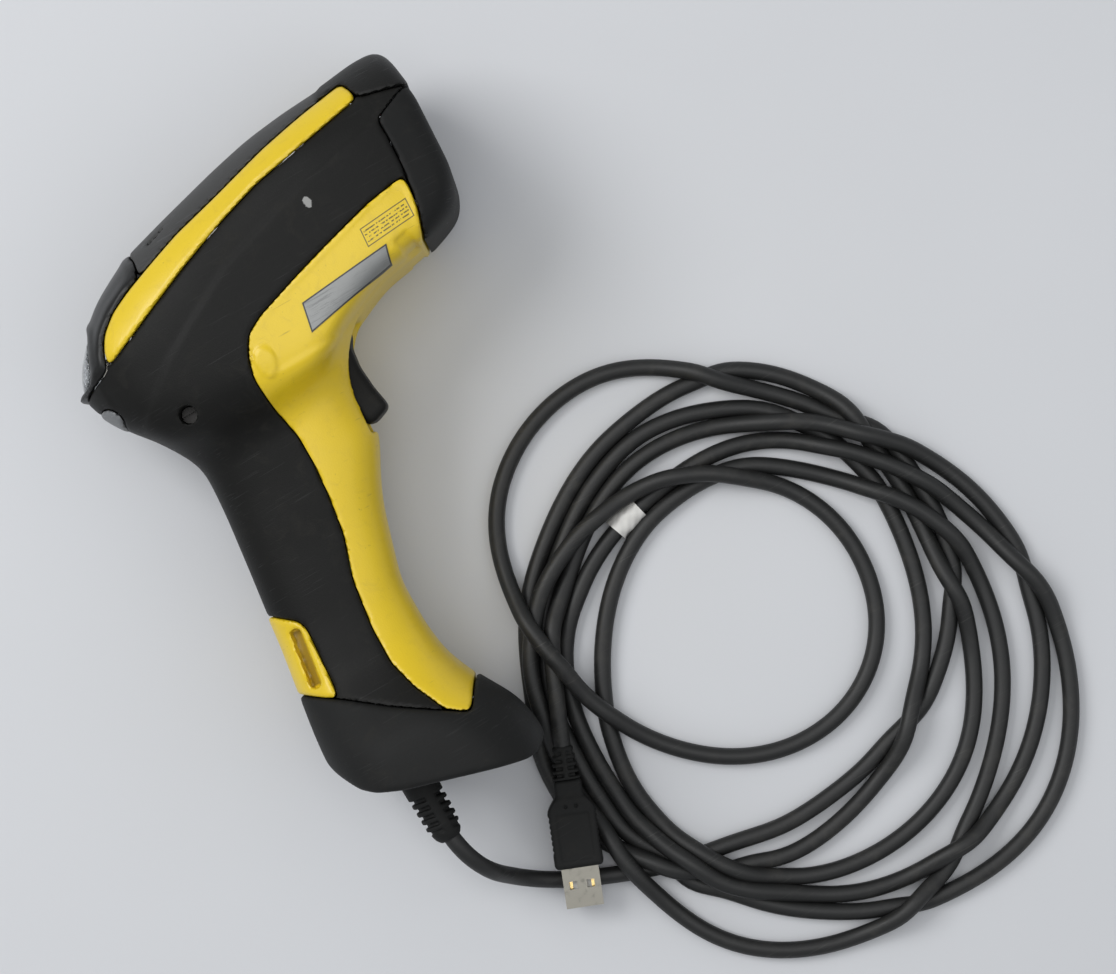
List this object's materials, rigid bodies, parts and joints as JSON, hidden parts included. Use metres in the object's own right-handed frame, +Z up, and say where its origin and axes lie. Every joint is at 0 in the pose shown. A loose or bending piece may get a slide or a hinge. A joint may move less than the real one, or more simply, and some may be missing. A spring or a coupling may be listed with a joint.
{
  "type": "handheld barcode scanner",
  "caption": "Pistol-grip handheld barcode scanner with trigger, nose window, two-colour covers and a loosely coiled lead ending in a flat data plug.",
  "frame": {"origin": "on the table, under the middle of the scanner's own box, without the cord and plug", "axes": "+X is the scanning direction, +Y runs up to the top of the head, +Z is up from the table; the scanner lies on its right side"},
  "size_m": [0.2368, 0.3246, 0.074],
  "materials": {
    "black_shell": "fine spark-eroded grain, slightly worn",
    "black_rubber": "soft matt rubber",
    "grey_cover": "satin grained plastic",
    "yellow_shell": "satin moulded plastic, scuffed and slightly soiled",
    "grey_cap": "satin",
    "clear_window": "clear polished plastic",
    "scan_window": "deep red polished pane",
    "silver_label": "metallised film",
    "white_label": "plain white film",
    "steel": "plain zinc-plated",
    "plug_metal": "nickel-plated sheet, lightly scratched",
    "contact_metal": "gold-flashed",
    "inner_plastic": "plain moulded",
    "circuit_board": "solder mask",
    "flex_film": "polyimide film",
    "lens_glass": "coated lens",
    "lamp": "clear domed lamp",
    "aimer_brass": "turned",
    "switch_red": "moulded",
    "cord_jacket": "smooth flexible jacket",
    "insulator": "white moulded"
  },
  "bodies": {
    "scanner": {"housing_left": "black_shell", "housing_right": "black_shell", "front_grip": "yellow_shell", "stripe_left": "yellow_shell", "stripe_right": "yellow_shell", "top_cover": "grey_cover", "rear_bezel": "black_rubber", "rear_window": "clear_window", "rear_cap": "grey_cap", "rear_clip": "yellow_shell", "nose_boot": "black_rubber", "front_window": "scan_window", "window_gasket": "black_rubber", "foot": "black_rubber", "rating_label": "silver_label", "housing_screws": "steel", "chassis": "inner_plastic", "trigger_pin": "steel", "trigger_spring": "steel", "switch_body": "inner_plastic", "scan_engine": "inner_plastic", "lens_barrel": "inner_plastic", "scan_lens": "lens_glass", "illumination_lamps": "lamp", "aimer": "aimer_brass", "sensor_board": "circuit_board", "main_board": "circuit_board", "board_flex": "flex_film", "beeper": "inner_plastic", "status_lamp": "lamp", "cable_socket": "inner_plastic", "cable_connector": "insulator", "strain_relief": "black_rubber", "cord_lead": "cord_jacket", "cord_coil": "cord_jacket", "cord_tail": "cord_jacket", "cord_sleeve": "white_label", "plug_relief": "black_rubber", "plug_body": "black_rubber", "plug_shell": "plug_metal", "plug_tongue": "insulator", "plug_contacts": "contact_metal"},
    "trigger": {"trigger": "black_shell"},
    "plunger": {"switch_plunger": "switch_red"}
  },
  "joints": [
    {"name": "trigger_hinge", "type": "hinge", "parent": "scanner", "child": "trigger", "pos_m": [0.001, 0.038, 0.037], "axis": [0, 0, -1], "range_deg": [0, 5], "stiffness_Nm_per_rad": 0.4, "springref_deg": -6.88, "deforming": ["trigger_spring"]},
    {"name": "plunger_slide", "type": "slide", "parent": "scanner", "child": "plunger", "axis": [-1, 0, 0], "range_m": [0, 0.0018]}
  ],
  "couplings": [
    {"joint": "plunger_slide", "follows": "trigger_hinge", "m_per_rad": 0.02}
  ]
}
